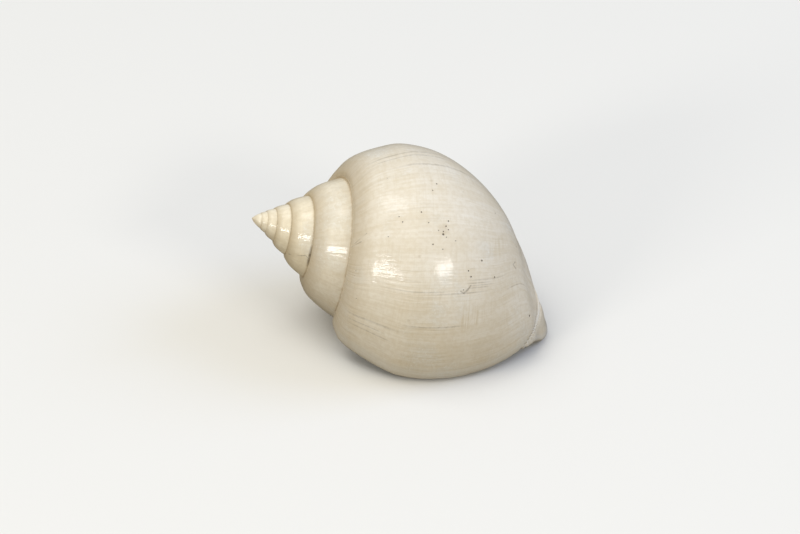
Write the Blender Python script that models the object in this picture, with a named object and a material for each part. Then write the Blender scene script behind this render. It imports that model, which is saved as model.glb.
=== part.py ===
"""Fossil moon snail shell, lying on its mouth.

The shell is one closed, hollow, right-handed coil.  A single profile, from the seam where
a whorl is glued to the whorl before it to the pillar in the middle, turns about the
coiling axis and shrinks towards the apex.  The same profile, moved inwards by the
thickness of the wall, lines the hollow behind the mouth, and the far side of that hollow
is the outside of the whorl before it.

The profile and the wall are in millimetres, in the shell's own frame: the apex at the
origin and the coiling axis along +Z, towards the front end.  The finished object is in
metres, +Z up, with its origin under the middle of its box, on the ground.
"""

import math

import bmesh
import bpy
from mathutils import Matrix, Vector

MM = 0.001
FULL_TURN = 2.0 * math.pi

# Growth from the apex to the mouth.
WHORLS = 7
WIDTH_PER_WHORL = 1.87        # last whorl's width over that of the whorl before it, nearly
EARLY_SLOWING = 0.057         # the young whorls widened more slowly than the last one
SPIRE_STRETCH = 0.1075        # and were that much longer for their width, per whorl
YOUNG_WIDTH = 0.15            # the youngest were wider again, but no longer
YOUNG_TURNS = (1.2, 3.0)      # whorls before the mouth at which that starts, and its reach
FLATNESS = 0.42               # the ramp of all but the last whorl is nearly a straight cone
FLAT_TURNS = (0.6, 0.75)
TIP_HEIGHT = 0.30             # of the apex itself, to which the first whorl is drawn out

# Profile of the last whorl at the mouth: distance from the axis and from the apex.
RAMP = ((12.15, 14.10), (13.70, 14.90), (15.25, 16.00), (16.75, 17.95))
SIDE = ((18.20, 20.60), (19.30, 23.15))
SEAM_SPAN = len(RAMP) + len(SIDE)
BELLY = ((19.62, 26.10), (19.42, 29.20), (18.45, 32.70), (16.78, 36.15), (14.60, 39.25))
SHEATH = ((12.28, 41.60), (10.00, 43.10), (7.55, 44.50))
UMBILICUS = ((5.40, 44.15), (4.00, 42.90))
PILLAR_END = ((6.90, 46.60), (6.60, 48.40))

# Wall.
LIP_THICKNESS = 0.55
WALL_THICKNESS = 1.50
THINNING_TURN = 0.10          # share of a turn behind the lip in which the wall thins
GLAZE_THICKNESS = 0.40        # enamel laid on the whorl before the mouth
GLAZE_TURN = 0.09             # share of a turn by which it runs out of the mouth
HOLLOW_TURNS = 1.5
LINING_START = 1.6            # profile spans at which the lining leaves the seam
LINING_END = 15.2             # and reaches the pillar
PILLAR = ((4.70, 41.60), (4.30, 38.40), (4.10, 35.20), (4.15, 32.40))

# How far the mouth's edge lies ahead of the seam, in degrees of turn, at even steps from
# the seam to the pillar.
LIP_LEAD = (0.0, -2.2, -8.0, -11.4, -15.5, -20.2, -27.0, -10.0, 1.0)
LIP_TURN = 0.25               # share of a turn in which growth lines swing to that edge

# Facets.
STEPS = 32
ROWS_PER_SPAN = 1.5
PILLAR_ROWS = 6

# How it lies: direction of the coiling axis and roll about it, in degrees.
AXIS_TURN = 4.0
AXIS_DIP = 17.0
MOUTH_ROLL = 40.8

SHELL_COLOUR = (0.76, 0.70, 0.58, 1.0)
SHELL_ROUGHNESS = 0.42


def growth(turns):
    """Logarithm of the coil's size `turns` whorls after the mouth, over that at the mouth."""
    slowing = EARLY_SLOWING * turns * turns / (1.0 + 0.5 * abs(turns))
    return math.log(WIDTH_PER_WHORL) * turns + slowing


def width_scale(turns):
    """Width of the coil `turns` whorls after the mouth, over its width at the mouth."""
    start, reach = YOUNG_TURNS
    youth = max(-turns - start, 0.0) / reach
    return math.exp(growth(turns) + YOUNG_WIDTH * youth * youth)


def length_scale(turns):
    """The same for distances along the coiling axis."""
    return math.exp(growth(turns) - SPIRE_STRETCH * turns)


def smooth_step(value):
    """Ease from 0 to 1 as value goes from 0 to 1."""
    value = min(max(value, 0.0), 1.0)
    return value * value * (3.0 - 2.0 * value)


def through(points, position):
    """Point at `position`, counted in spans, on a smooth curve through 2D points."""
    span = min(max(int(position), 0), len(points) - 2)
    fraction = position - span
    before = points[max(span - 1, 0)]
    start, end = points[span], points[span + 1]
    after = points[min(span + 2, len(points) - 1)]
    result = []
    for low, first, last, high in zip(before, start, end, after):
        leave = 0.5 * (last - low)
        arrive = 0.5 * (high - first)
        bend = 3.0 * (last - first) - 2.0 * leave - arrive
        twist = leave + arrive - 2.0 * (last - first)
        result.append(first + fraction * (leave + fraction * (bend + fraction * twist)))
    return Vector(result) if len(result) > 1 else result


def seam_point():
    """Where the whorl at the mouth meets the whorl before it."""
    radius, height = SIDE[-1]
    return (radius * width_scale(-1.0), height * length_scale(-1.0))


OPEN_PROFILE = (seam_point(),) + RAMP + SIDE + BELLY + SHEATH + UMBILICUS
COVERED_PROFILE = (seam_point(),) + RAMP + SIDE + BELLY + SHEATH + PILLAR_END
PROFILE_SPANS = len(OPEN_PROFILE) - 1
ROWS = round(PROFILE_SPANS * ROWS_PER_SPAN)
SEAM_ROW = round(SEAM_SPAN * ROWS_PER_SPAN)


def profile_point(points, position, turns):
    """Point at `position` of the profile, whose ramp is flatter in the young whorls."""
    point = through(points, position)
    if position < SEAM_SPAN:
        start, reach = FLAT_TURNS
        straight = Vector(points[0]).lerp(Vector(points[SEAM_SPAN]), position / SEAM_SPAN)
        point = point.lerp(straight, FLATNESS * smooth_step((-turns - start) / reach))
    return point


def outward(points, position):
    """Direction square to the profile, pointing away from the material."""
    step = 0.05
    run = through(points, min(position + step, len(points) - 1))
    run = run - through(points, max(position - step, 0.0))
    return Vector((run.y, -run.x)).normalized()


def lip_lead(share, turns):
    """Angle by which the growth edge runs ahead of the seam, at a share of the profile."""
    edge = [(degrees,) for degrees in LIP_LEAD]
    lead = through(edge, share * (len(LIP_LEAD) - 1))[0]
    return math.radians(lead) * smooth_step(1.0 + turns / LIP_TURN)


def on_coil(point, turns, share):
    """Place a profile point on the coil, `turns` whorls after the mouth."""
    angle = FULL_TURN * turns + lip_lead(share, turns)
    radius = point[0] * width_scale(turns)
    height = point[1] * length_scale(turns)
    return Vector((radius * math.cos(angle), radius * math.sin(angle), height))


def outside_point(step, row):
    """Vertex of the outside, and past the mouth of the floor of the hollow."""
    turns = step / STEPS
    position = row * PROFILE_SPANS / ROWS
    covered = smooth_step(1.0 - (turns + 1.0) / GLAZE_TURN)
    point = profile_point(OPEN_PROFILE, position, turns)
    point = point.lerp(profile_point(COVERED_PROFILE, position, turns), covered)
    if row > SEAM_ROW:
        glaze = GLAZE_THICKNESS * covered / width_scale(-1.0)
        point = point + outward(COVERED_PROFILE, position) * glaze
    place = on_coil(point, turns, row / ROWS)
    if row < SEAM_ROW:
        seam = Vector((0.0, 0.0, TIP_HEIGHT))
        if step >= STEPS * (1 - WHORLS):
            seam = on_coil(SIDE[-1], turns - 1.0, SEAM_ROW / ROWS)
        gap = seam - on_coil(OPEN_PROFILE[0], turns, 0.0)
        place += gap * (1.0 - row / SEAM_ROW) ** 2
    return place


def lining_point(step, row):
    """Vertex of the inner side of the outer wall."""
    if row == 0:
        return outside_point(step - STEPS, SEAM_ROW + 1)
    turns = step / STEPS
    if row == ROWS and step == 0:
        return outside_point(0, ROWS)
    share = (row - 1.0) / (ROWS - 1.0)
    position = LINING_START + (LINING_END - LINING_START) * share
    depth = smooth_step(-turns / THINNING_TURN)
    thickness = LIP_THICKNESS + (WALL_THICKNESS - LIP_THICKNESS) * depth
    point = profile_point(OPEN_PROFILE, position, turns)
    point = point - outward(OPEN_PROFILE, position) * thickness
    return on_coil(point, turns, position / PROFILE_SPANS)


def pillar_point(step, row):
    """Vertex of the pillar inside the hollow, from the front end upwards."""
    start = lining_point(step, ROWS)
    end = outside_point(step - STEPS, ROWS)
    if row == 0:
        return start
    if row == PILLAR_ROWS:
        return end
    share = row / PILLAR_ROWS
    point = through(PILLAR, share * (len(PILLAR) - 1))
    return on_coil(point, step / STEPS, 1.0)


def plug_point(reach, row):
    """Vertex of the enamel that closes the hollow of the pillar, seen from the front."""
    middle = -STEPS // 2
    front = outside_point(middle + reach, ROWS)
    back = outside_point(middle - reach, ROWS)
    share = row / PILLAR_ROWS
    place = front.lerp(back, share)
    edge = pillar_point(0, row) - pillar_point(0, 0).lerp(pillar_point(0, PILLAR_ROWS), share)
    return place + edge * (2.0 * reach / STEPS) ** 3


def skin(mesh, first, last, row_range, point):
    """Extrude a line of edges from step `first` to step `last` through point(step, row)."""
    line = [mesh.verts.new(point(first, row)) for row in row_range]
    edges = [mesh.edges.new(pair) for pair in zip(line, line[1:])]
    for step in range(first + 1, last + 1):
        grown = bmesh.ops.extrude_edge_only(mesh, edges=edges)["geom"]
        fresh = {item for item in grown if isinstance(item, bmesh.types.BMVert)}
        line = [next(edge.other_vert(vert) for edge in vert.link_edges
                     if edge.other_vert(vert) in fresh) for vert in line]
        edges = [item for item in grown if isinstance(item, bmesh.types.BMEdge)]
        edges = [edge for edge in edges if edge.verts[0] in fresh and edge.verts[1] in fresh]
        for vert, row in zip(line, row_range):
            vert.co = point(step, row)


def shell_mesh():
    """Build the closed shell in its own frame, in millimetres."""
    mesh = bmesh.new()
    young = -STEPS * WHORLS
    deep = -round(STEPS * HOLLOW_TURNS)
    skin(mesh, young, 0, range(0, SEAM_ROW + 1), outside_point)
    skin(mesh, -STEPS, 0, range(SEAM_ROW, ROWS + 1), outside_point)
    skin(mesh, deep - STEPS, -STEPS, range(SEAM_ROW + 1, ROWS + 1), outside_point)
    skin(mesh, deep, 0, range(0, ROWS + 1), lining_point)
    skin(mesh, deep, 0, range(0, PILLAR_ROWS + 1), pillar_point)
    skin(mesh, 0, STEPS // 2, range(0, PILLAR_ROWS + 1), plug_point)
    skin(mesh, 0, 1, range(0, ROWS + 1),
         lambda side, row: (outside_point, lining_point)[side](0, row))
    bmesh.ops.remove_doubles(mesh, verts=mesh.verts, dist=0.002)
    holes = [edge for edge in mesh.edges if edge.is_boundary]
    bmesh.ops.holes_fill(mesh, edges=holes, sides=0)
    bmesh.ops.triangulate(mesh, faces=mesh.faces)
    bmesh.ops.recalc_face_normals(mesh, faces=mesh.faces)
    return mesh


def lying_down():
    """Turn the shell's own frame to how it lies, mouth down."""
    turn = math.radians(AXIS_TURN)
    dip = math.radians(AXIS_DIP)
    axis = Vector((math.cos(turn) * math.cos(dip), math.sin(turn) * math.cos(dip),
                   -math.sin(dip)))
    towards = Vector((0.0, -1.0, 0.0))
    towards = (towards - axis * towards.dot(axis)).normalized()
    frame = Matrix((towards, axis.cross(towards), axis)).transposed()
    return frame @ Matrix.Rotation(math.radians(MOUTH_ROLL), 3, "Z")


def shell_material():
    """Cream shell, satin where it is clean."""
    material = bpy.data.materials.new("fossil_shell")
    material.use_nodes = True
    surface = material.node_tree.nodes["Principled BSDF"]
    surface.inputs["Base Color"].default_value = SHELL_COLOUR
    surface.inputs["Roughness"].default_value = SHELL_ROUGHNESS
    surface.inputs["Metallic"].default_value = 0.0
    return material


def make_shell():
    """Make the shell, lying on the ground with its origin under the middle of its box."""
    mesh = shell_mesh()
    turn = lying_down().to_4x4() @ Matrix.Scale(MM, 4)
    bmesh.ops.transform(mesh, matrix=turn, verts=mesh.verts)
    lowest = [min(vert.co[axis] for vert in mesh.verts) for axis in range(3)]
    highest = [max(vert.co[axis] for vert in mesh.verts) for axis in range(3)]
    middle = Vector(((lowest[0] + highest[0]) / 2, (lowest[1] + highest[1]) / 2, lowest[2]))
    bmesh.ops.translate(mesh, vec=-middle, verts=mesh.verts)
    data = bpy.data.meshes.new("shell")
    mesh.to_mesh(data)
    mesh.free()
    data.shade_smooth()
    data.materials.append(shell_material())
    shell = bpy.data.objects.new("shell", data)
    bpy.context.scene.collection.objects.link(shell)
    return shell


def main():
    """Clear the scene and make the shell."""
    for item in list(bpy.data.objects):
        bpy.data.objects.remove(item)
    make_shell()


main()
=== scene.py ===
"""Finish of a fossil moon snail shell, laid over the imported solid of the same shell.

The shell is grown as the animal grew it.  One profile, from the seam to the pillar, turns
about the coiling axis and widens towards the mouth, and every skin of the shell is a grid
of faces whose corners are placed on that coil.  Lengths on the coil are in millimetres, in
the shell's own frame: the apex at the origin and the coiling axis along +Z.  The finished
piece is in metres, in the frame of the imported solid.
"""

import math

import bmesh
import bpy
from bpy.props import FloatProperty, FloatVectorProperty, IntProperty, PointerProperty
from mathutils import Matrix, Vector, noise
from mathutils.bvhtree import BVHTree


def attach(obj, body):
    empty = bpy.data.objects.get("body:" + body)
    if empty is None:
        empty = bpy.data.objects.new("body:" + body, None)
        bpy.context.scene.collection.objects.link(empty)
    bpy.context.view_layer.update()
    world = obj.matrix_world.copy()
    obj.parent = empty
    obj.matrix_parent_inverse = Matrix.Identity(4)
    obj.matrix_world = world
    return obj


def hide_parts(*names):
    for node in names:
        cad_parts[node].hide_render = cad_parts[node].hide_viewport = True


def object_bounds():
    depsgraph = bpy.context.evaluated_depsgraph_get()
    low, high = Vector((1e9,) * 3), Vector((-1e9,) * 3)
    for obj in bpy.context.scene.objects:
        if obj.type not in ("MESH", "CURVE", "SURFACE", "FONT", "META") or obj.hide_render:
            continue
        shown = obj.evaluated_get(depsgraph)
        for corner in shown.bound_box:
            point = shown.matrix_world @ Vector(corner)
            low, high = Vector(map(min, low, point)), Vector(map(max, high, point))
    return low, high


bl_info = {
    "name": "Fossil Moon Snail Shell",
    "version": (1, 0, 0),
    "blender": (4, 5, 0),
    "location": "3D View > Sidebar > Shell",
    "description": "Adds a fossil moon snail shell, its finish and a small studio",
    "category": "Add Mesh",
}

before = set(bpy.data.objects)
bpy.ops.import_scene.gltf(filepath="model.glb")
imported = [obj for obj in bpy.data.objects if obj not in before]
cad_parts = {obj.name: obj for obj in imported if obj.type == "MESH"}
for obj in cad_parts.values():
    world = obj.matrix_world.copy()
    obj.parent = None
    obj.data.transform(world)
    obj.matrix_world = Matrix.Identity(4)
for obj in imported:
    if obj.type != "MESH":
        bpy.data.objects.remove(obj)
CAD_LOW, CAD_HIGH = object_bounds()

MM = 0.001
FULL_TURN = 2.0 * math.pi

# Growth from the apex to the mouth.
WIDTH_PER_WHORL = 1.87
EARLY_SLOWING = 0.057         # the young whorls widened more slowly than the last one
SPIRE_STRETCH = 0.1075        # and were that much longer for their width, per whorl
YOUNG_WIDTH = 0.15            # the youngest were wider again, but no longer
YOUNG_TURNS = (1.2, 3.0)      # whorls before the mouth at which that starts, and its reach
FLATNESS = 0.42               # the ramp of all but the last whorl is nearly a straight cone
FLAT_TURNS = (0.6, 0.75)
TIP_HEIGHT = 0.30             # of the apex itself, to which the first whorl is drawn out

# Profile of the last whorl at the mouth: distance from the axis and from the apex.
RAMP = ((12.15, 14.10), (13.70, 14.90), (15.25, 16.00), (16.75, 17.95))
SIDE = ((18.20, 20.60), (19.30, 23.15))
SEAM_SPAN = len(RAMP) + len(SIDE)
BELLY = ((19.62, 26.10), (19.42, 29.20), (18.45, 32.70), (16.78, 36.15), (14.60, 39.25))
SHEATH = ((12.28, 41.60), (10.00, 43.10), (7.55, 44.50))
UMBILICUS = ((5.40, 44.15), (4.00, 42.90))
PILLAR_END = ((6.90, 46.60), (6.60, 48.40))
PILLAR = ((4.70, 41.60), (4.30, 38.40), (4.10, 35.20), (4.15, 32.40))
GLAZE_THICKNESS = 0.40        # enamel laid on the whorl before the mouth
GLAZE_TURN = 0.09             # share of a turn by which it runs out of the mouth
THINNING_TURN = 0.10          # share of a turn behind the lip in which the wall thins
LINING_START = 1.6            # profile spans at which the lining leaves the seam
LINING_END = 15.2             # and reaches the pillar

# How far the mouth's edge lies ahead of the seam, in degrees of turn, at even steps from
# the seam to the pillar.
LIP_LEAD = (0.0, -2.2, -8.0, -11.4, -15.5, -20.2, -27.0, -10.0, 1.0)
LIP_TURN = 0.25               # share of a turn in which growth lines swing to that edge

# Rows of faces along the profile: up to which span, and how many.
ROW_PLAN = ((SEAM_SPAN, 26), (11.4, 30), (14.0, 48), (16.0, 14))
SEAM_ROW = ROW_PLAN[0][1]
ROWS = sum(count for _, count in ROW_PLAN)
PILLAR_ROWS = 12
RIM_STEPS = 6

# How it lies: direction of the coiling axis and roll about it, in degrees.
AXIS_TURN = 4.0
AXIS_DIP = 17.0
MOUTH_ROLL = 40.8


def linear(code):
    """Turn an sRGB hex colour into the linear colour that Blender works in."""
    parts = [int(code[place:place + 2], 16) / 255.0 for place in (0, 2, 4)]
    return tuple(part / 12.92 if part <= 0.04045 else ((part + 0.055) / 1.055) ** 2.4
                 for part in parts)


class ShellSizes(bpy.types.PropertyGroup):
    """Sizes and wear of the shell."""

    whorls: IntProperty(
        name="Whorls", description="Turns of the coil from the apex to the mouth",
        default=7, min=3, max=9)
    steps: IntProperty(
        name="Steps per turn", description="Faces in one turn of the coil",
        default=180, min=40, max=240)
    hollow: FloatProperty(
        name="Depth of the hollow", description="Turns left open behind the mouth",
        default=0.75, min=0.3, max=1.5)
    lip: FloatProperty(
        name="Lip", description="Thickness of the wall at the mouth's edge",
        default=0.40 * MM, unit="LENGTH", precision=5)
    wall: FloatProperty(
        name="Wall", description="Thickness of the wall deeper in the mouth",
        default=1.50 * MM, unit="LENGTH", precision=5)
    waves: FloatProperty(
        name="Growth waves", description="Height of the slow swells that follow the lip",
        default=0.022 * MM, unit="LENGTH", precision=6)
    ridge: FloatProperty(
        name="Sheath ridge", description="Height of the ridge that bounds the front sheath",
        default=0.28 * MM, unit="LENGTH", precision=6)
    crevice: FloatProperty(
        name="Seam depth", description="Depth of the crevice along the seam at the mouth",
        default=0.09 * MM, unit="LENGTH", precision=6)
    raggedness: FloatProperty(
        name="Ragged lip", description="How far wear has eaten into the lip's edge",
        default=0.12 * MM, unit="LENGTH", precision=6)


class ShellColours(bpy.types.PropertyGroup):
    """Colours and gloss of the shell."""

    cream: FloatVectorProperty(
        name="Cream", description="Colour of the clean shell",
        subtype="COLOR", default=linear("E8DDC7"), min=0.0, max=1.0)
    beige: FloatVectorProperty(
        name="Beige", description="Colour of the darker growth bands",
        subtype="COLOR", default=linear("D0BE9B"), min=0.0, max=1.0)
    # Pale also paints the specks, which are partly worn glaze and partly painted glints.
    pale: FloatVectorProperty(
        name="Pale", description="Colour of the specks where the glaze is worn",
        subtype="COLOR", default=linear("F0EADB"), min=0.0, max=1.0)
    honey: FloatVectorProperty(
        name="Honey", description="Warm colour of the young whorls",
        subtype="COLOR", default=linear("F5E6C4"), min=0.0, max=1.0)
    # Tan also colours the painted shade on each whorl's ramp beside the seams.
    tan: FloatVectorProperty(
        name="Tan", description="Brown stain along the seams",
        subtype="COLOR", default=linear("A58C60"), min=0.0, max=1.0)
    chalk: FloatVectorProperty(
        name="Chalk", description="Grey-white of the weathered patches",
        subtype="COLOR", default=linear("D9D6CA"), min=0.0, max=1.0)
    soil: FloatVectorProperty(
        name="Soil", description="Brown dirt in the seams, pits and cracks",
        subtype="COLOR", default=linear("5B4B36"), min=0.0, max=1.0)
    roughness: FloatProperty(
        name="Roughness", description="Roughness of the polished shell",
        subtype="FACTOR", default=0.48, min=0.05, max=1.0)


class StudioSettings(bpy.types.PropertyGroup):
    """Floor, light and camera."""

    floor: FloatVectorProperty(
        name="Floor", description="Colour of the floor and the backdrop",
        subtype="COLOR", default=linear("E3DED2"), min=0.0, max=1.0)
    ambient: FloatProperty(
        name="Ambient light", description="Strength of the light from all round",
        default=0.50, min=0.0, max=2.0)
    overhead: FloatProperty(
        name="Overhead light", description="Power of the wide lamps above and at the side",
        default=5.6, min=0.0, unit="POWER")
    softbox: FloatProperty(
        name="Softboxes", description="Power of the small lamps that give the highlights",
        default=1.2, min=0.0, unit="POWER")
    elevation: FloatProperty(
        name="Camera height", description="Angle at which the camera looks down",
        subtype="ANGLE", default=math.radians(34.0))
    distance: FloatProperty(
        name="Camera distance", description="From the camera to the point it looks at",
        default=0.884, unit="LENGTH")
    lens: FloatProperty(
        name="Lens", description="Focal length of the camera",
        default=276.0, min=20.0, unit="CAMERA")


def growth(turns):
    """Logarithm of the coil's size `turns` whorls after the mouth, over that at the mouth."""
    slowing = EARLY_SLOWING * turns * turns / (1.0 + 0.5 * abs(turns))
    return math.log(WIDTH_PER_WHORL) * turns + slowing


def width_scale(turns):
    """Width of the coil `turns` whorls after the mouth, over its width at the mouth."""
    start, reach = YOUNG_TURNS
    youth = max(-turns - start, 0.0) / reach
    return math.exp(growth(turns) + YOUNG_WIDTH * youth * youth)


def length_scale(turns):
    """The same for distances along the coiling axis."""
    return math.exp(growth(turns) - SPIRE_STRETCH * turns)


def smooth_step(value):
    """Ease from 0 to 1 as value goes from 0 to 1."""
    value = min(max(value, 0.0), 1.0)
    return value * value * (3.0 - 2.0 * value)


def bump(distance, width):
    """A smooth hump of height 1 and about `width` wide on either side."""
    return math.exp(-(distance / width) ** 2)


def through(points, position):
    """Point at `position`, counted in spans, on a smooth curve through points."""
    span = min(max(int(position), 0), len(points) - 2)
    fraction = position - span
    before = points[max(span - 1, 0)]
    start, end = points[span], points[span + 1]
    after = points[min(span + 2, len(points) - 1)]
    result = []
    for low, first, last, high in zip(before, start, end, after):
        leave = 0.5 * (last - low)
        arrive = 0.5 * (high - first)
        bend = 3.0 * (last - first) - 2.0 * leave - arrive
        twist = leave + arrive - 2.0 * (last - first)
        result.append(first + fraction * (leave + fraction * (bend + fraction * twist)))
    return Vector(result) if len(result) > 1 else result


def seam_point():
    """Where the whorl at the mouth meets the whorl before it."""
    radius, height = SIDE[-1]
    return (radius * width_scale(-1.0), height * length_scale(-1.0))


OPEN_PROFILE = (seam_point(),) + RAMP + SIDE + BELLY + SHEATH + UMBILICUS
COVERED_PROFILE = (seam_point(),) + RAMP + SIDE + BELLY + SHEATH + PILLAR_END
SPANS = len(OPEN_PROFILE) - 1

FAR = 50.0                    # mm or spans, for what has no seam or end near it

# Wear and growth marks, at whorls after the mouth and spans along the profile.
GROWTH_WAVE = 2.6             # mm between slow swells, at the widest part of the last whorl
REST_TURNS = -2.062           # an old mouth edge, healed over, on a whorl of the spire
REST_STEP = 0.10              # mm that it stands out, at the width of the last whorl
REST_FADE = 0.03              # share of a turn past it in which the step fades out
LUMP_SIZE = 7.0               # mm across the faint dents all over
LUMP_HEIGHT = 0.03
WAVE_RATE = 0.12              # changes of the swells per span along the profile
EDGE_TURN = 0.035             # share of a turn over which the rim's wear fades out
# Ragged detail of the rim: its changes per span, its share, and which noise it is.
RAGGED = ((2.3, 1.0, 4.0), (7.0, 0.6, 9.0))
# Chips in the rim: at which span, how wide in spans, and how deep in mm, or below zero
# where it stands out.
CHIPS = ((2.3, 0.7, -0.22), (7.9, 0.20, 0.12), (12.25, 0.14, 0.28), (12.80, 0.10, 0.12))
SHEATH_SWELL = 0.20           # mm by which the front sheath swells beyond its ridge
SHEATH_BULGE = 0.16           # mm more at its widest, a little behind the mouth
SHEATH_START = 0.155          # share of a turn behind the mouth at which that starts
SHEATH_GROOVE = 0.15          # mm deep, beside the ridge
RIDGE_SPAN = 13.95            # where the ridge runs along the coil
RIDGE_FLARE = (2.45, 0.15, 1.9)  # spans by which it flares, in what share of a turn, its bend
RIDGE_WIDTH = 0.12            # mm on either side
GROOVE_OFFSET = 0.34          # mm from the ridge to the middle of a groove
GROOVE_WIDTH = 0.14
CREVICE_WIDTH = 0.30
CALM_BAND = 0.8               # mm beside a seam in which the relief dies out
COMING_OUT = 0.1              # share of a turn in which relief sets in past a covered part
SHEATH_SIDE = 11.0            # span from which there can be a sheath
SHEATH_TURNS = (0.6, 0.4)     # whorls behind the mouth at which it starts, and its reach
SHARP_RIDGE = (0.18, 0.06)    # the same for the full height of the ridge and its groove
FAINT_RIDGE = 0.15            # share of that height further back
RIDGE_WEAR = (0.6, 0.025)     # share worn off at the mouth, and in what share of a turn
BULGE_TURN = 0.08             # share of a turn over which the bulge grows
SWELL_TURN = 0.07             # and over which the swell sets in
SWELL_SIDE = 0.7              # mm from the ridge in which it rises
SWELL_END = (15.8, 1.2)       # span at which it has died out, and its reach

# Where the coil strays from its rule: whorls after the mouth and spans along the profile,
# the reach in each, and the mm by which it is pushed, as the shell lies.
PUSHES = (
    (-2.3, 8.0, 1.3, FAR, Vector((-0.14, -0.10, -0.14))),
    (0.0, 13.5, 0.05, 0.55, Vector((0.10, -0.75, 0.0))),
    (0.0, 2.3, 0.06, 1.0, Vector((-0.18, -0.08, -0.14))),
)


def span_at(row):
    """Profile span at a row of faces; rows crowd at both seams and round the sheath."""
    low, first = 0.0, 0
    for high, count in ROW_PLAN:
        if row <= first + count:
            share = (row - first) / count
            if low == 0.0:
                share -= 0.6 * math.sin(FULL_TURN * share) / FULL_TURN
            return low + (high - low) * share
        low, first = high, first + count
    return low


def profile_point(points, position, turns):
    """Point at `position` of the profile, whose ramp is flatter in the young whorls."""
    point = through(points, position)
    if position < SEAM_SPAN:
        start, reach = FLAT_TURNS
        straight = Vector(points[0]).lerp(Vector(points[SEAM_SPAN]), position / SEAM_SPAN)
        point = point.lerp(straight, FLATNESS * smooth_step((-turns - start) / reach))
    return point


def outward(points, position):
    """Direction square to the profile, pointing away from the material."""
    step = 0.05
    run = through(points, min(position + step, len(points) - 1))
    run = run - through(points, max(position - step, 0.0))
    return Vector((run.y, -run.x)).normalized()


def profile_lengths():
    """Distance along the profile from the seam to each tenth of a span, in mm."""
    lengths = [0.0]
    for tenth in range(SPANS * 10):
        start = through(OPEN_PROFILE, tenth / 10.0)
        lengths.append(lengths[-1] + (through(OPEN_PROFILE, (tenth + 1) / 10.0) - start).length)
    return [(length,) for length in lengths]


PROFILE_LENGTHS = profile_lengths()


def profile_length(position):
    """Distance along the profile from the seam to `position`, in mm, at the mouth's size."""
    return through(PROFILE_LENGTHS, position * 10.0)[0]


def growth_length(turns):
    """Distance that the widest part of the lip had grown, `turns` after the mouth, in mm."""
    radius = BELLY[0][0]
    rate = math.log(WIDTH_PER_WHORL)
    return FULL_TURN * radius * math.exp(rate * turns) / rate


def lip_lead(share):
    """Angle by which the growth edge runs ahead of the seam, at a share of the profile."""
    edge = [(degrees,) for degrees in LIP_LEAD]
    return math.radians(through(edge, share * (len(LIP_LEAD) - 1))[0])


def swing(turns):
    """How far the skin's own lines have swung to the lip's edge, from 0 to 1."""
    return smooth_step(1.0 + turns / LIP_TURN)


def ridge_span(turns):
    """Span of the ridge that bounds the sheath; it flares out to the mouth's edge."""
    flare, reach, bend = RIDGE_FLARE
    return RIDGE_SPAN - flare * max(1.0 + turns / reach, 0.0) ** bend


def ridge_distance(turns, position):
    """Distance from that ridge along the profile, in mm; more than zero on the sheath."""
    return profile_length(position) - profile_length(ridge_span(turns))


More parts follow.
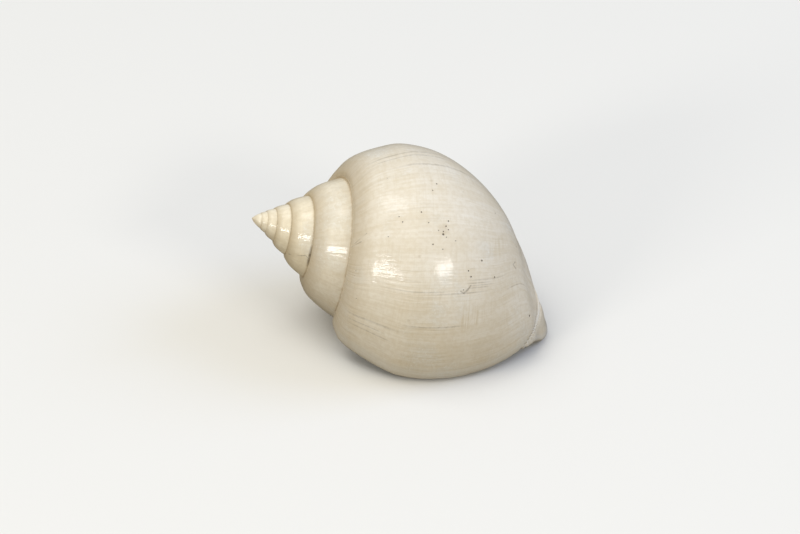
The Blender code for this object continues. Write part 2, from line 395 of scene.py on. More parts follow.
class Coil:
    """Places points of the shell's skins on the coil."""

    def __init__(self, sizes):
        self.steps = sizes.steps
        self.whorls = sizes.whorls
        self.deep = -round(sizes.steps * sizes.hollow)
        self.lip = sizes.lip / MM
        self.wall = sizes.wall / MM
        self.waves = sizes.waves / MM
        self.ridge = sizes.ridge / MM
        self.crevice = sizes.crevice / MM
        self.raggedness = sizes.raggedness / MM
        upright = lying_down().transposed()
        self.pushes = [(*where, upright @ push) for *where, push in PUSHES]

    def wear(self, share):
        """Distance by which the rim is worn back at a share of the profile, in mm."""
        position = share * SPANS
        grain = sum(part * noise.noise(Vector((position * rate, 0.0, layer)))
                    for rate, part, layer in RAGGED)
        worn = self.raggedness * (0.5 + grain)
        worn += sum(depth * bump(position - span, width) for span, width, depth in CHIPS)
        worn *= smooth_step(share / 0.08) * smooth_step((0.93 - share) / 0.05)
        return 0.4 * self.lip + worn

    def place(self, point, turns, share):
        """Place a profile point on the coil, `turns` whorls after the mouth."""
        angle = FULL_TURN * turns + lip_lead(share) * swing(turns)
        edge = smooth_step(1.0 + turns / EDGE_TURN)
        radius = point[0] * width_scale(turns)
        if edge > 0.0:
            angle -= edge * self.wear(share) / max(radius, 2.0)
        place = Vector((radius * math.cos(angle), radius * math.sin(angle),
                        point[1] * length_scale(turns)))
        for at_turns, at_span, reach, spread, push in self.pushes:
            place += push * (bump(turns - at_turns, reach) * bump(share * SPANS - at_span, spread))
        return place

    def outside(self, step, row):
        """Vertex of the outside, and past the mouth of the floor of the hollow."""
        turns = step / self.steps
        position = span_at(row)
        covered = smooth_step(1.0 - (turns + 1.0) / GLAZE_TURN)
        point = profile_point(OPEN_PROFILE, position, turns)
        point = point.lerp(profile_point(COVERED_PROFILE, position, turns), covered)
        if row > SEAM_ROW:
            glaze = GLAZE_THICKNESS * covered / width_scale(-1.0)
            point = point + outward(COVERED_PROFILE, position) * glaze
        place = self.place(point, turns, position / SPANS)
        if row < SEAM_ROW:
            seam = Vector((0.0, 0.0, TIP_HEIGHT))
            if step >= self.steps * (1 - self.whorls):
                seam = self.place(SIDE[-1], turns - 1.0, SEAM_SPAN / SPANS)
            gap = seam - self.place(OPEN_PROFILE[0], turns, 0.0)
            place += gap * (1.0 - position / SEAM_SPAN) ** 2
        return place

    def lining(self, step, row):
        """Vertex of the inner side of the outer wall."""
        if row == 0:
            return self.outside(step - self.steps, SEAM_ROW + RIM_STEPS)
        turns = step / self.steps
        if row == ROWS and step == 0:
            return self.outside(0, ROWS)
        first = span_at(1)
        share = (span_at(row) - first) / (SPANS - first)
        position = LINING_START + (LINING_END - LINING_START) * share
        depth = smooth_step(-turns / THINNING_TURN)
        thickness = self.lip + (self.wall - self.lip) * depth
        point = profile_point(OPEN_PROFILE, position, turns)
        point = point - outward(OPEN_PROFILE, position) * thickness
        return self.place(point, turns, position / SPANS)

    def pillar(self, step, row):
        """Vertex of the pillar inside the hollow, from the front end upwards."""
        if row == 0:
            return self.lining(step, ROWS)
        if row == PILLAR_ROWS:
            return self.outside(step - self.steps, ROWS)
        share = row / PILLAR_ROWS
        return self.place(through(PILLAR, share * (len(PILLAR) - 1)), step / self.steps, 1.0)

    def plug(self, reach, row):
        """Vertex of the enamel that closes the hollow of the pillar, seen from the front."""
        middle = -self.steps // 2
        front = self.outside(middle + reach, ROWS)
        back = self.outside(middle - reach, ROWS)
        share = row / PILLAR_ROWS
        ends = self.pillar(0, 0).lerp(self.pillar(0, PILLAR_ROWS), share)
        bulge = self.pillar(0, row) - ends
        return front.lerp(back, share) + bulge * (2.0 * reach / self.steps) ** 3

    def rim(self, side, row):
        """Vertex of the rounded edge of the mouth, from the outside to the lining."""
        if row == 0:
            return self.outside(-self.steps, SEAM_ROW + side)
        outer, inner = self.outside(0, row), self.lining(0, row)
        middle, half = (outer + inner) / 2, (outer - inner) / 2
        ahead = Vector((-middle.y, middle.x, 0.0)).normalized()
        turn = math.pi * side / RIM_STEPS
        return middle + half * math.cos(turn) + ahead * (0.8 * half.length * math.sin(turn))

    def relief(self, step, row):
        """Height of the outside's own relief at a vertex, in mm."""
        turns = step / self.steps
        position = span_at(row)
        scale = width_scale(turns)
        growth = growth_length(self.growth_turns(step, row))
        wave = noise.noise(Vector((growth / (GROWTH_WAVE * scale), position * WAVE_RATE, 0.0)))
        lump = noise.noise(self.place(through(OPEN_PROFILE, position), turns, 0.0) / LUMP_SIZE)
        height = scale * (self.waves * wave + LUMP_HEIGHT * lump)
        rest = self.growth_turns(step, row) - REST_TURNS
        if 0.0 < rest < 0.1:
            height -= REST_STEP * scale * bump(rest, REST_FADE)
        seam = self.seam_distance(step, row) / scale
        height *= smooth_step(seam / CALM_BAND)
        if position > SEAM_SPAN:
            height *= smooth_step((turns + 1.0) / COMING_OUT)
        height -= self.crevice * scale * bump(seam, CREVICE_WIDTH)
        if position > SHEATH_SIDE and turns > -1.0:
            start, reach = SHEATH_TURNS
            height += self.sheath(turns, position) * smooth_step((turns + start) / reach)
        return height

    def sheath(self, turns, position):
        """Height of the ridge, groove and swell round the front end, in mm."""
        away = ridge_distance(turns, position)
        start, reach = SHARP_RIDGE
        near_mouth = smooth_step((turns + start) / reach)
        ridge = self.ridge * bump(away, RIDGE_WIDTH)
        ridge *= FAINT_RIDGE + (1.0 - FAINT_RIDGE) * near_mouth
        worn, reach = RIDGE_WEAR
        ridge *= 1.0 - worn * smooth_step(1.0 + turns / reach)
        groove = bump(away + GROOVE_OFFSET, GROOVE_WIDTH)
        groove += 0.5 * bump(away - GROOVE_OFFSET, GROOVE_WIDTH)
        swell = SHEATH_SWELL + SHEATH_BULGE * smooth_step(-turns / BULGE_TURN)
        swell *= smooth_step((turns + SHEATH_START) / SWELL_TURN)
        end, reach = SWELL_END
        swell *= smooth_step(away / SWELL_SIDE) * smooth_step((end - position) / reach)
        return ridge - SHEATH_GROOVE * groove * near_mouth + swell

    def growth_turns(self, step, row):
        """When the place was grown, in whorls after the mouth."""
        turns = step / self.steps
        return turns + lip_lead(span_at(row) / SPANS) * (swing(turns) - 1.0) / FULL_TURN

    def seam_distance(self, step, row):
        """Distance to the nearest seam along the profile, in mm."""
        turns = step / self.steps
        length = profile_length(span_at(row))
        if turns <= -1.0:
            length = min(length, abs(profile_length(SEAM_SPAN) - length))
        return length * width_scale(turns)


def coil_marks(coil, step, row, inside):
    """Pattern coordinates of a vertex, and its distances to the seam and to the lip, in mm.

    The distance to the lip is less than zero on the inner skins.
    """
    grown = growth_length(coil.growth_turns(step, row))
    lip = growth_length(0.0) - grown
    scale = width_scale(step / coil.steps)
    seam = FAR if inside else coil.seam_distance(step, row) / math.sqrt(max(scale, 0.05))
    return (grown, profile_length(span_at(row))), (seam, -1.0 - lip if inside else lip)


def skin(mesh, first, last, rows, place, marks, relief=None, ridge=None):
    """Lay a grid of faces over the steps and rows of one skin of the shell.

    place gives the place of each vertex, marks its pattern coordinates and distances, relief
    its height in mm, and ridge its distance from the sheath's ridge.
    """
    across, along = last - first, rows[-1] - rows[0]
    grid = bmesh.ops.create_grid(mesh, x_segments=across, y_segments=along, size=1.0)
    pattern = mesh.loops.layers.uv["growth"]
    edges = mesh.loops.layers.uv["edges"]
    height = mesh.verts.layers.float["relief"]
    from_ridge = mesh.verts.layers.float["ridge"]
    found = {}
    for vert in grid["verts"]:
        step = first + round((vert.co.x + 1.0) / 2.0 * across)
        row = rows[0] + round((vert.co.y + 1.0) / 2.0 * along)
        vert.co = place(step, row)
        vert[height] = relief(step, row) if relief else 0.0
        vert[from_ridge] = ridge(step, row) if ridge else FAR
        found[vert] = marks(step, row)
    for face in {face for vert in grid["verts"] for face in vert.link_faces}:
        for loop in face.loops:
            loop[pattern].uv, loop[edges].uv = found[loop.vert]


def grow_shell(coil):
    """Build the closed shell in its own frame, in millimetres."""
    mesh = bmesh.new()
    mesh.loops.layers.uv.new("growth")
    mesh.loops.layers.uv.new("edges")
    mesh.verts.layers.float.new("relief")
    mesh.verts.layers.float.new("ridge")
    steps, deep = coil.steps, coil.deep

    def outer(step, row):
        return coil_marks(coil, step, row, False)

    def inner(step, row):
        return coil_marks(coil, step, row, True)

    def closing(step, row):
        return (growth_length(step / steps), profile_length(SPANS) + row), (FAR, FAR)

    def edge(side, row):
        return outer(0, row)

    def ridge(step, row):
        return ridge_distance(step / steps, span_at(row))

    def edge_ridge(side, row):
        return ridge(0, row)

    def edge_relief(side, row):
        return coil.relief(0, row) * (1.0 + math.cos(math.pi * side / RIM_STEPS)) / 2.0

    skin(mesh, -steps * coil.whorls, -steps, range(SEAM_ROW + 1), coil.outside, outer, coil.relief)
    skin(mesh, -steps, 0, range(ROWS + 1), coil.outside, outer, coil.relief, ridge)
    skin(mesh, deep - steps, -steps, range(SEAM_ROW + RIM_STEPS, ROWS + 1), coil.outside, inner)
    skin(mesh, deep, 0, range(ROWS + 1), coil.lining, inner)
    skin(mesh, deep, 0, range(PILLAR_ROWS + 1), coil.pillar, closing)
    skin(mesh, 0, steps // 2, range(PILLAR_ROWS + 1), coil.plug, closing)
    skin(mesh, 0, RIM_STEPS, range(ROWS + 1), coil.rim, edge, edge_relief, edge_ridge)
    bmesh.ops.remove_doubles(mesh, verts=mesh.verts, dist=0.002)
    holes = [edge for edge in mesh.edges if edge.is_boundary]
    bmesh.ops.holes_fill(mesh, edges=holes, sides=0)
    bmesh.ops.recalc_face_normals(mesh, faces=mesh.faces)
    return mesh


def raise_relief(mesh):
    """Move every vertex out along its normal by its own relief."""
    height = mesh.verts.layers.float["relief"]
    mesh.normal_update()
    moves = [(vert, vert.normal * vert[height]) for vert in mesh.verts]
    for vert, move in moves:
        vert.co += move


def lying_down():
    """Turn the shell's own frame to how it lies, mouth down."""
    turn = math.radians(AXIS_TURN)
    dip = math.radians(AXIS_DIP)
    axis = Vector((math.cos(turn) * math.cos(dip), math.sin(turn) * math.cos(dip),
                   -math.sin(dip)))
    towards = Vector((0.0, -1.0, 0.0))
    towards = (towards - axis * towards.dot(axis)).normalized()
    turned = Matrix((towards, axis.cross(towards), axis)).transposed()
    return turned @ Matrix.Rotation(math.radians(MOUTH_ROLL), 3, "Z")


def mesh_bounds(mesh):
    """Lowest and highest corner of a mesh."""
    low = [min(vert.co[axis] for vert in mesh.verts) for axis in range(3)]
    high = [max(vert.co[axis] for vert in mesh.verts) for axis in range(3)]
    return Vector(low), Vector(high)


# Patterns of the surface: spacing in mm, along growth and along the profile or one for all
# directions, how detailed the noise is, the level about which it is folded, and the levels
# at which the pattern starts and is complete.  Folded noise leaves a thin line where it
# crosses the level.  Real growth lines are 0.1 to 0.3 mm apart and are drawn a little
# coarser, so that they show.
PATTERNS = {
    "growth lines": ((0.36, 9.0), 1.0, 0.0, 0.44, 0.62),
    "growth bands": ((1.9, 34.0), 2.0, 0.0, 0.40, 0.62),
    "growth stops": ((3.4, 70.0), 1.0, 0.5, 0.022, 0.004),
    "spiral lines": ((14.0, 0.30), 2.0, 0.0, 0.46, 0.64),
    "line patches": ((5.5,), 2.0, 0.0, 0.42, 0.60),
    "stripe patches": ((4.5,), 2.0, 0.0, 0.48, 0.64),
    "clouds": ((8.0,), 3.0, 0.0, 0.35, 0.65),
    "chalk patches": ((6.0,), 4.0, 0.0, 0.50, 0.68),
    "mottle": ((0.6,), 4.0, 0.0, 0.42, 0.62),
    "specks": ((0.34,), 2.0, 0.0, 0.55, 0.68),
    "grain": ((0.16,), 2.0, 0.0, 0.30, 0.70),
}
# Lines and specks that show only in patches, and how much of them is left between patches.
PATCHES = (
    ("growth lines", "line patches", 0.55), ("growth lines", "last whorl", 0.65),
    ("growth stops", "line patches", 0.0), ("growth stops", "last whorl", 0.10),
    ("stripe patches", "striped", 0.25), ("spiral lines", "stripe patches", 0.10),
    ("specks", "chalk patches", 0.25), ("soil", "mottle", 0.60),
    ("seam", "grown up", 0.35), ("painted seam shade", "grown up", 0.50),
    ("scratches", "mottle", 0.60), ("arcs", "mottle", 0.6),
)
# Parts of the shell: what is measured, in mm, and the values at which the part starts and
# is complete.  "grown" is the length the lip had grown, "lip" the distance behind the lip.
PARTS = {
    "young": ("grown", 118.0, 60.0), "last whorl": ("grown", 98.0, 118.0),
    "grown up": ("grown", 5.0, 35.0), "inside": ("lip", 0.0, -1.0),
    "near mouth": ("lip", 15.7, 11.1),
}
PAINTED_SEAM_SHADE = (7.0, 1.0)       # mm along the profile between which the painted shade beside the seam deepens
SEAM_LINE = (0.40, 0.05)      # mm from the seam between which its brown line fills up
SOIL_LINE = (0.62, 0.30)      # the same for the dirt in it
LIP_BAND = (0.6, 2.2, 0.3)    # chalky band behind the lip: its middle, and where it starts
RIDGE_LINES = (("ridge", 0.0, 0.19), ("groove", -0.30, 0.20))   # mm from the ridge, and reach
LINE_CORE = 0.2               # share of a line's width over which it is complete

PRICK_SPACING = 1.5           # mm between the places where a pin-prick can be
PRICK_CHANCE = 0.62           # share of those places that stay clean
PRICK_SIZE = 0.075            # radius of the largest, in spacings
PRICK_EDGE = 40.0             # sharpness of its edge

# Round marks: the share of its width over which each is complete, and where they are, at
# whorls after the mouth and spans along the profile, with their width in mm.
SPOTS = {
    "pits": (0.5, (
        (-0.313, 7.07, 0.26), (-0.300, 6.80, 0.20), (-0.263, 6.13, 0.24),
        (-0.250, 6.53, 0.18), (-0.246, 5.07, 0.22), (-0.258, 7.60, 0.26),
        (-0.250, 7.47, 0.24), (-0.246, 7.60, 0.20), (-0.242, 7.33, 0.22),
        (-0.238, 7.33, 0.38), (-0.242, 7.07, 0.16), (-0.235, 7.50, 0.16),
        (-0.221, 6.80, 0.24), (-0.217, 7.33, 0.18), (-0.233, 8.00, 0.16),
        (-0.213, 9.33, 0.32), (-0.192, 8.67, 0.26), (-0.183, 8.80, 0.30),
        (-0.188, 10.0, 0.24), (-0.075, 12.0, 0.38))),
    "striped": (0.4, ((-0.26, 9.6, 9.0), (-0.09, 8.8, 9.0))),
    "stains": (0.3, ((-0.317, 6.80, 0.60), (-0.200, 6.13, 0.60), (-0.100, 6.00, 0.60),
                     (-0.245, 7.35, 2.20))),
    "soiled": (0.4, ((-1.11, 1.60, 4.8),)),
}

# Single growth marks: when they grew, in whorls after the mouth, between which spans they
# show, and their width in mm.
ARCS = (
    (-0.352, 2.6, 8.6, 0.28), (-0.341, 3.0, 9.0, 0.22), (-0.316, 4.4, 10.4, 0.28),
    (-0.069, 1.6, 5.8, 0.26), (-0.080, 5.6, 8.8, 0.16), (-0.122, 6.8, 9.8, 0.14),
    (-0.059, 1.8, 5.0, 0.16), (-0.051, 2.2, 5.6, 0.16), (-0.125, 4.2, 8.0, 0.12),
    (-0.138, 8.6, 10.8, 0.16), (-0.134, 8.5, 9.9, 0.14), (-0.131, 8.6, 10.0, 0.14),
    (-0.128, 8.5, 9.8, 0.14), (-0.115, 10.6, 12.6, 0.16),
)

# Scratches and cracks: from one place to another, with their width in mm.
SCRATCHES = (
    ((-0.154, 8.50), (-0.161, 8.68), 0.20), ((-0.161, 8.68), (-0.168, 8.80), 0.15),
    ((-0.157, 8.34), (-0.154, 8.50), 0.12), ((-0.192, 1.20), (-0.206, 2.40), 0.10),
    ((-0.200, 1.60), (-0.222, 2.90), 0.08), ((-2.050, 2.00), (-2.096, 4.50), 0.12),
    ((-2.096, 4.50), (-2.108, 5.20), 0.12), ((-2.108, 5.20), (-2.100, 5.90), 0.12),
    ((-0.229, 11.50), (-0.222, 11.28), 0.14), ((-0.222, 11.28), (-0.214, 11.50), 0.14),
)

# Colours laid over the cream in this order, and how strongly each covers.
LAYERS = (
    ("young", "honey", 0.80), ("clouds", "beige", 0.24), ("growth bands", "beige", 0.22),
    ("chalk patches", "chalk", 0.34), ("mottle", "beige", 0.26),
    ("spiral lines", "beige", 0.65), ("growth lines", "beige", 0.30),
    # The pale specks are partly worn glaze and partly painted glints.
    ("specks", "pale", 0.40), ("growth stops", "soil", 0.05), ("arcs", "soil", 0.30),
    ("stains", "tan", 0.25), ("lip", "chalk", 0.35), ("inside", "beige", 0.45),
    # The first of these is painted shade, tinted brown, beside the seams; the seam line and soil
    # are dirt.
    ("painted seam shade", "tan", 0.55), ("seam", "tan", 0.45), ("soil", "soil", 0.75),
    ("scratches", "soil", 0.50), ("pricks", "soil", 0.60), ("pits", "soil", 0.90),
    ("groove", "soil", 0.30), ("ridge", "pale", 0.75),
)
# By how much each roughens the glaze, and how high in mm it stands on it.
DULLING = {"chalk patches": 0.14, "grain": 0.06, "seam": 0.30, "pits": 0.35,
           "growth lines": 0.08}
HEIGHTS = {"growth lines": -0.010, "growth bands": 0.004, "grain": 0.0010,
           "growth stops": -0.006, "spiral lines": -0.005, "mottle": 0.002,
           "specks": 0.005, "pricks": -0.05, "pits": -0.10, "seam": -0.02}
# Aragonite has an IOR of 1.53 to 1.69; the coat is what is left of the shell's own glaze.
GLAZE = {"IOR": 1.56, "Coat Weight": 0.60, "Coat Roughness": 0.045}


def add(tree, kind, inputs=None, **settings):
    """Add a shader node, set what it does, and fill or link its inputs."""
    item = tree.nodes.new("ShaderNode" + kind)
    for name, value in settings.items():
        setattr(item, name, value)
    for socket, value in (inputs or {}).items():
        if isinstance(value, bpy.types.NodeSocket):
            tree.links.new(value, item.inputs[socket])
        else:
            item.inputs[socket].default_value = value
    return item.outputs


def surface_patterns(tree, place, coil):
    """Masks from 0 to 1 for the lines, bands and patches of the shell."""
    masks = {}
    for name, (spacing, detail, fold, start, full) in PATTERNS.items():
        source, scale = place, 1.0 / (spacing[0] * MM)
        if len(spacing) == 2:
            source = add(tree, "VectorMath", {0: coil, 1: (*spacing, 1.0)}, operation="DIVIDE")[0]
            scale = 1.0
        level = add(tree, "TexNoise", {"Vector": source, "Scale": scale, "Detail": detail})["Fac"]
        level = add(tree, "Math", {0: level, 1: fold}, operation="SUBTRACT")[0]
        level = add(tree, "Math", {0: level}, operation="ABSOLUTE")[0]
        masks[name] = add(tree, "MapRange", {"Value": level, "From Min": start,
                                             "From Max": full}, interpolation_type="SMOOTHSTEP")[0]
    return masks


def spot_mask(tree, space, spots, full):
    """Mask of round spots, each complete over the share `full` of its width."""
    mask = 0.0
    for middle, width in spots:
        away = add(tree, "VectorMath", {0: space, 1: middle}, operation="DISTANCE")["Value"]
        spot = add(tree, "MapRange", {"Value": away, "From Min": 0.5 * width,
                                      "From Max": 0.5 * full * width})[0]
        mask = add(tree, "Math", {0: mask, 1: spot}, operation="MAXIMUM")[0]
    return mask


def prick_mask(tree, space):
    """Mask of pin-pricks scattered over the whole surface."""
    place = add(tree, "VectorMath", {0: space, "Scale": 1.0 / PRICK_SPACING}, operation="SCALE")[0]
    cell = add(tree, "TexVoronoi", {"Vector": place, "Scale": 1.0})
    chance = add(tree, "SeparateColor", {0: cell["Color"]})[0]
    size = add(tree, "MapRange", {"Value": chance, "From Min": PRICK_CHANCE, "From Max": 1.0,
                                  "To Min": 0.0, "To Max": PRICK_SIZE})[0]
    depth = add(tree, "Math", {0: size, 1: cell["Distance"]}, operation="SUBTRACT")[0]
    return add(tree, "Math", {0: depth, 1: PRICK_EDGE}, operation="MULTIPLY", use_clamp=True)[0]


def scratch_mask(tree, space, lines):
    """Mask of the scratches: each is the stretch of surface near a straight line."""
    mask = 0.0
    for start, end, width in lines:
        run = end - start
        from_start = add(tree, "VectorMath", {0: space, 1: start}, operation="SUBTRACT")[0]
        share = add(tree, "VectorMath", {0: from_start, 1: run / run.length_squared},
                    operation="DOT_PRODUCT")["Value"]
        share = add(tree, "Math", {0: share, 1: 0.0}, operation="ADD", use_clamp=True)[0]
        nearest = add(tree, "VectorMath", {0: run, "Scale": share}, operation="SCALE")[0]
        away = add(tree, "VectorMath", {0: from_start, 1: nearest}, operation="DISTANCE")["Value"]
        line = add(tree, "MapRange", {"Value": away, "From Min": width,
                                      "From Max": LINE_CORE * width})[0]
        mask = add(tree, "Math", {0: mask, 1: line}, operation="MAXIMUM")[0]
    return mask


def arc_mask(tree, grown, profile):
    """Mask of the single growth marks, which fade out towards their ends."""
    mask = 0.0
    for turns, start, end, width in ARCS:
        start, end = profile_length(start), profile_length(end)
        across = add(tree, "Math", {0: grown, 1: growth_length(turns)}, operation="SUBTRACT")[0]
        across = add(tree, "Math", {0: across}, operation="ABSOLUTE")[0]
        line = add(tree, "MapRange", {"Value": across, "From Min": width,
                                      "From Max": LINE_CORE * width})[0]
        along = add(tree, "Math", {0: profile, 1: (start + end) / 2}, operation="SUBTRACT")[0]
        along = add(tree, "Math", {0: along}, operation="ABSOLUTE")[0]
        share = add(tree, "MapRange", {"Value": along, "From Min": (end - start) / 2,
                                       "From Max": (end - start) / 4})[0]
        arc = add(tree, "Math", {0: line, 1: share}, operation="MULTIPLY")[0]
        mask = add(tree, "Math", {0: mask, 1: arc}, operation="MAXIMUM")[0]
    return mask


def fossil_shell(colours, spots, lines):
    """Fossil aragonite: a natural glaze, worn satin, over fine growth and spiral lines.

    Growth lines run from the seam to the front end and break up the highlights.  Brown soil
    stays in the seams, pits and scratches, and the young whorls are warmer than the last.  A brown
    painted shade darkens each whorl's ramp beside its seam.
    """
    material = bpy.data.materials.new("fossil_aragonite")
    material.use_nodes = True
    tree = material.node_tree
    surface = tree.nodes["Principled BSDF"]
    for name, value in GLAZE.items():
        surface.inputs[name].default_value = value

    def ramp(value, start, full):
        return add(tree, "MapRange", {"Value": value, "From Min": start, "From Max": full},
                   interpolation_type="SMOOTHSTEP")[0]

    def distance(value, middle):
        away = add(tree, "Math", {0: value, 1: middle}, operation="SUBTRACT")[0]
        return add(tree, "Math", {0: away}, operation="ABSOLUTE")[0]

    place = add(tree, "TexCoord")["Object"]
    space = add(tree, "VectorMath", {0: place, "Scale": 1.0 / MM}, operation="SCALE")[0]
    coil = add(tree, "UVMap", uv_map="growth")[0]
    seam, lip, _ = add(tree, "SeparateXYZ", {0: add(tree, "UVMap", uv_map="edges")[0]})
    grown, profile, _ = add(tree, "SeparateXYZ", {0: coil})
    masks = surface_patterns(tree, place, coil)
    for name, (full, _) in SPOTS.items():
        masks[name] = spot_mask(tree, space, spots[name], full)
    masks["pricks"] = prick_mask(tree, space)
    masks["arcs"] = arc_mask(tree, grown, profile)
    masks["scratches"] = scratch_mask(tree, space, lines)
    for name, (measure, start, full) in PARTS.items():
        masks[name] = ramp(grown if measure == "grown" else lip, start, full)
    from_ridge = add(tree, "Attribute", attribute_name="ridge")["Fac"]
    for name, middle, reach in RIDGE_LINES:
        line = ramp(distance(from_ridge, middle), reach, LINE_CORE * reach)
        masks[name] = add(tree, "Math", {0: line, 1: masks["near mouth"]}, operation="MULTIPLY")[0]
    middle, start, full = LIP_BAND
    masks["lip"] = ramp(distance(lip, middle), start, full)
    # Painted shade, tinted brown, on each whorl's ramp next to the seam.
    start, full = PAINTED_SEAM_SHADE
    masks["painted seam shade"] = add(tree, "MapRange", {"Value": profile, "From Min": start,
                                                 "From Max": full})[0]
    wander = add(tree, "MapRange", {"Value": masks["mottle"], "To Min": 0.8, "To Max": 1.0})[0]
    wandering = add(tree, "Math", {0: seam, 1: wander}, operation="DIVIDE")[0]
    masks["seam"] = ramp(wandering, *SEAM_LINE)
    masks["soil"] = add(tree, "Math", {0: ramp(seam, *SOIL_LINE), 1: masks["soiled"]},
                        operation="MULTIPLY")[0]
    for name, patches, least in PATCHES:
        thin = add(tree, "MapRange", {"Value": masks[patches], "To Min": least})[0]
        masks[name] = add(tree, "Math", {0: masks[name], 1: thin}, operation="MULTIPLY")[0]

    colour = (*colours.cream, 1.0)
    for name, tint, strength in LAYERS:
        share = add(tree, "Math", {0: masks[name], 1: strength}, operation="MULTIPLY")[0]
        tint = (*getattr(colours, tint), 1.0)
        colour = add(tree, "Mix", {0: share, 6: colour, 7: tint}, data_type="RGBA")[2]
    tree.links.new(colour, surface.inputs["Base Color"])

    dull = 0.0
    for name, strength in DULLING.items():
        dull = add(tree, "Math", {0: masks[name], 1: strength, 2: dull},
                   operation="MULTIPLY_ADD")[0]
    rough = add(tree, "Math", {0: dull, 1: colours.roughness}, operation="ADD")[0]
    tree.links.new(rough, surface.inputs["Roughness"])

    height = 0.0
    for name, tall in HEIGHTS.items():
        height = add(tree, "Math", {0: masks[name], 1: tall, 2: height},
                     operation="MULTIPLY_ADD")[0]
    relief = add(tree, "Bump", {"Height": height, "Distance": MM, "Strength": 1.0})[0]
    tree.links.new(relief, surface.inputs["Normal"])
    tree.links.new(relief, surface.inputs["Coat Normal"])
    return material


class SHELL_OT_add_shell(bpy.types.Operator):
    """Add the fossil moon snail shell, lying on its mouth"""

    bl_idname = "shell.add_shell"
    bl_label = "Add Shell"

    def execute(self, context):
        sizes = context.scene.shell_sizes
        coil = Coil(sizes)
        mesh = grow_shell(coil)
        turned = lying_down()
        bmesh.ops.transform(mesh, matrix=turned.to_4x4(), verts=mesh.verts)
        low, high = mesh_bounds(mesh)
        middle = Vector(((low.x + high.x) / 2, (low.y + high.y) / 2, low.z))
        raise_relief(mesh)
        foot = (CAD_LOW + CAD_HIGH) / 2
        foot.z = CAD_LOW.z
        down = Matrix.Translation(foot) @ Matrix.Scale(MM, 4) @ Matrix.Translation(-middle)
        bmesh.ops.transform(mesh, matrix=down, verts=mesh.verts)
        lowest = min(vert.co.z for vert in mesh.verts)
        bmesh.ops.translate(mesh, vec=(0.0, 0.0, CAD_LOW.z - lowest), verts=mesh.verts)

        surface = BVHTree.FromBMesh(mesh)

        def spot(turns, position):
            point = profile_point(OPEN_PROFILE, position, turns)
            point = down @ (turned @ coil.place(point, turns, position / SPANS))
            return surface.find_nearest(point)[0] / MM

        spots = {name: [(spot(turns, position), width) for turns, position, width in places]
                 for name, (_, places) in SPOTS.items()}
        lines = [(spot(*start), spot(*end), width) for start, end, width in SCRATCHES]
        data = bpy.data.meshes.new("moon_snail_shell")
        mesh.to_mesh(data)
        mesh.free()
        data.shade_smooth()
        data.set_sharp_from_angle(angle=math.radians(50.0))
        data.materials.append(fossil_shell(context.scene.shell_colours, spots, lines))
        shell = bpy.data.objects.new("moon_snail_shell", data)
        context.scene.collection.objects.link(shell)
        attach(shell, "root")
        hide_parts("shell")
        return {"FINISHED"}


FLOOR_REACH = 3.0             # half the side of the floor, in metres
FLOOR_LIGHTING = "7E745F"     # colour by which the floor lights the shell from below
SKY_TINT = "FCFEFF"           # of the light from all round
AIM = Vector((0.0001, 0.0142, 0.0))          # where on the ground the camera looks
LAMPS = {
    # name: direction towards the lamp, degrees by which it is turned about that, its distance
    # and its two sides in metres, its share of the power set for its kind, and its colour
    "overhead": (Vector((-0.32, 0.04, 0.95)), 0, 1.1, (0.90, 0.80), 1.0, "F0F5FF"),
    "sidelight": (Vector((0.80, 0.16, 0.62)), 0, 1.1, (0.60, 0.50), 0.85, "AEC8FF"),
    "softbox_left": (Vector((-0.60, -0.67, 0.32)), 30, 0.7, (0.25, 0.10), 1.15, "FFFFFF"),
    "softbox_right": (Vector((0.55, -0.68, 0.48)), 0, 0.7, (0.24, 0.09), 0.86, "FFFFFF"),
    "softbox_top": (Vector((-0.36, 0.02, 0.93)), 0, 0.9, (0.24, 0.18), 0.45, "FFFFFF"),
}


def seen_or_lighting(tree, seen, lighting):
    """Colour that is `seen` where the camera looks and `lighting` where it lights things."""
    path = add(tree, "LightPath")
    return add(tree, "Mix", {0: path["Is Camera Ray"], 6: (*lighting, 1.0), 7: (*seen, 1.0)},
               data_type="RGBA")[2]


def floor_material(colour):
    """Matt painted board, pale where it is seen and greyer where it lights the shell."""
    material = bpy.data.materials.new("matt_board")
    material.use_nodes = True
    tree = material.node_tree
    surface = tree.nodes["Principled BSDF"]
    surface.inputs["Roughness"].default_value = 0.8
    surface.inputs["Specular IOR Level"].default_value = 0.0
    board = seen_or_lighting(tree, colour, linear(FLOOR_LIGHTING))
    tree.links.new(board, surface.inputs["Base Color"])
    return material


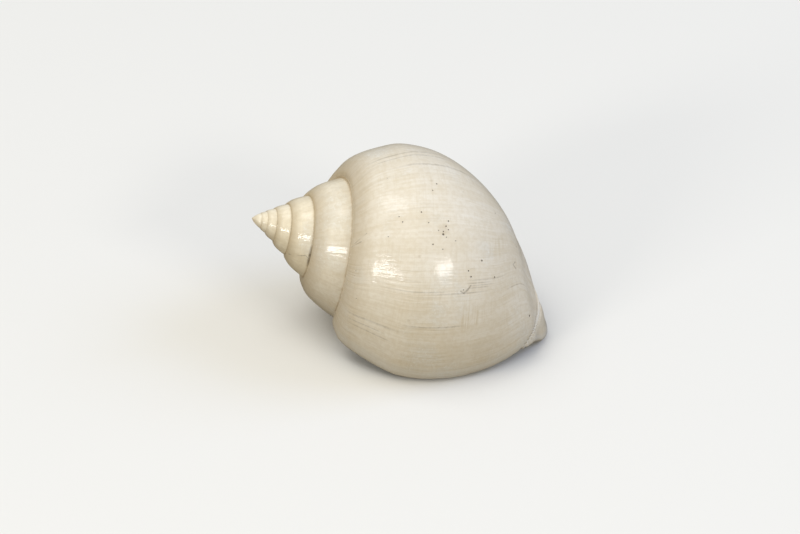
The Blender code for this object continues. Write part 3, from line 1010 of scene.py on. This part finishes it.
class SHELL_OT_add_stage(bpy.types.Operator):
    """Add the floor, the lamps and the camera"""

    bl_idname = "shell.add_stage"
    bl_label = "Add Stage"

    def execute(self, context):
        studio = context.scene.shell_studio
        self.add_floor(context, studio)
        self.add_lamps(context, studio)
        self.add_world(context, studio)
        self.add_camera(context, studio)
        context.scene.view_settings.view_transform = "Standard"
        return {"FINISHED"}

    def add_floor(self, context, studio):
        """A wide pale board under the shell."""
        mesh = bmesh.new()
        bmesh.ops.create_grid(mesh, x_segments=1, y_segments=1, size=FLOOR_REACH)
        data = bpy.data.meshes.new("floor")
        mesh.to_mesh(data)
        mesh.free()
        data.materials.append(floor_material(studio.floor))
        floor = bpy.data.objects.new("floor", data)
        context.scene.collection.objects.link(floor)

    def add_lamps(self, context, studio):
        """Wide lamps above and at the side, and the small softboxes that the glaze shows."""
        for name, (towards, turn, distance, sides, share, tint) in LAMPS.items():
            small = name.startswith("softbox")
            light = bpy.data.lights.new(name, "AREA")
            light.shape = "RECTANGLE"
            light.size, light.size_y = sides
            light.energy = share * (studio.softbox if small else studio.overhead)
            light.color = linear(tint)
            lamp = bpy.data.objects.new(name, light)
            lamp.location = towards.normalized() * distance
            turned = Matrix.Rotation(math.radians(turn), 3, "Z")
            lamp.rotation_euler = (towards.to_track_quat("Z", "Y").to_matrix() @ turned).to_euler()
            lamp.visible_camera = False
            lamp.visible_glossy = small
            context.scene.collection.objects.link(lamp)

    def add_world(self, context, studio):
        """Even light from all round, behind which the camera sees the floor's colour."""
        world = bpy.data.worlds.new("studio")
        world.use_nodes = True
        tree = world.node_tree
        sky = tree.nodes["Background"]
        ambient = tuple(studio.ambient * part for part in linear(SKY_TINT))
        tree.links.new(seen_or_lighting(tree, studio.floor, ambient), sky.inputs["Color"])
        context.scene.world = world

    def add_camera(self, context, studio):
        """A long lens looking down at the shell's side."""
        data = bpy.data.cameras.new("camera")
        data.lens = studio.lens
        data.clip_start, data.clip_end = 0.01, 20.0
        camera = bpy.data.objects.new("camera", data)
        back = Vector((0.0, -math.cos(studio.elevation), math.sin(studio.elevation)))
        camera.location = AIM + back * studio.distance
        camera.rotation_euler = back.to_track_quat("Z", "Y").to_euler()
        context.scene.collection.objects.link(camera)
        context.scene.camera = camera


class SHELL_PT_panel(bpy.types.Panel):
    """Sizes, colours and buttons for the shell and its stage"""

    bl_label = "Moon Snail Shell"
    bl_space_type = "VIEW_3D"
    bl_region_type = "UI"
    bl_category = "Shell"

    def draw(self, context):
        for group, operator in (("shell_studio", SHELL_OT_add_stage),
                                ("shell_sizes", SHELL_OT_add_shell),
                                ("shell_colours", None)):
            box = self.layout.box()
            settings = getattr(context.scene, group)
            for name in settings.bl_rna.properties.keys():
                if name not in ("rna_type", "name"):
                    box.prop(settings, name)
            if operator:
                box.operator(operator.bl_idname)


GROUPS = {"shell_sizes": ShellSizes, "shell_colours": ShellColours, "shell_studio": StudioSettings}
CLASSES = (*GROUPS.values(), SHELL_OT_add_shell, SHELL_OT_add_stage, SHELL_PT_panel)


def register():
    """Register the classes and give the scene its settings."""
    for item in CLASSES:
        bpy.utils.register_class(item)
    for name, group in GROUPS.items():
        setattr(bpy.types.Scene, name, PointerProperty(type=group))


def unregister():
    """Take the settings and the classes away again."""
    for name in GROUPS:
        delattr(bpy.types.Scene, name)
    for item in reversed(CLASSES):
        bpy.utils.unregister_class(item)


def main():
    """Add the stage and the shell."""
    register()
    bpy.ops.shell.add_stage()
    bpy.ops.shell.add_shell()


if __name__ == "__main__":
    main()
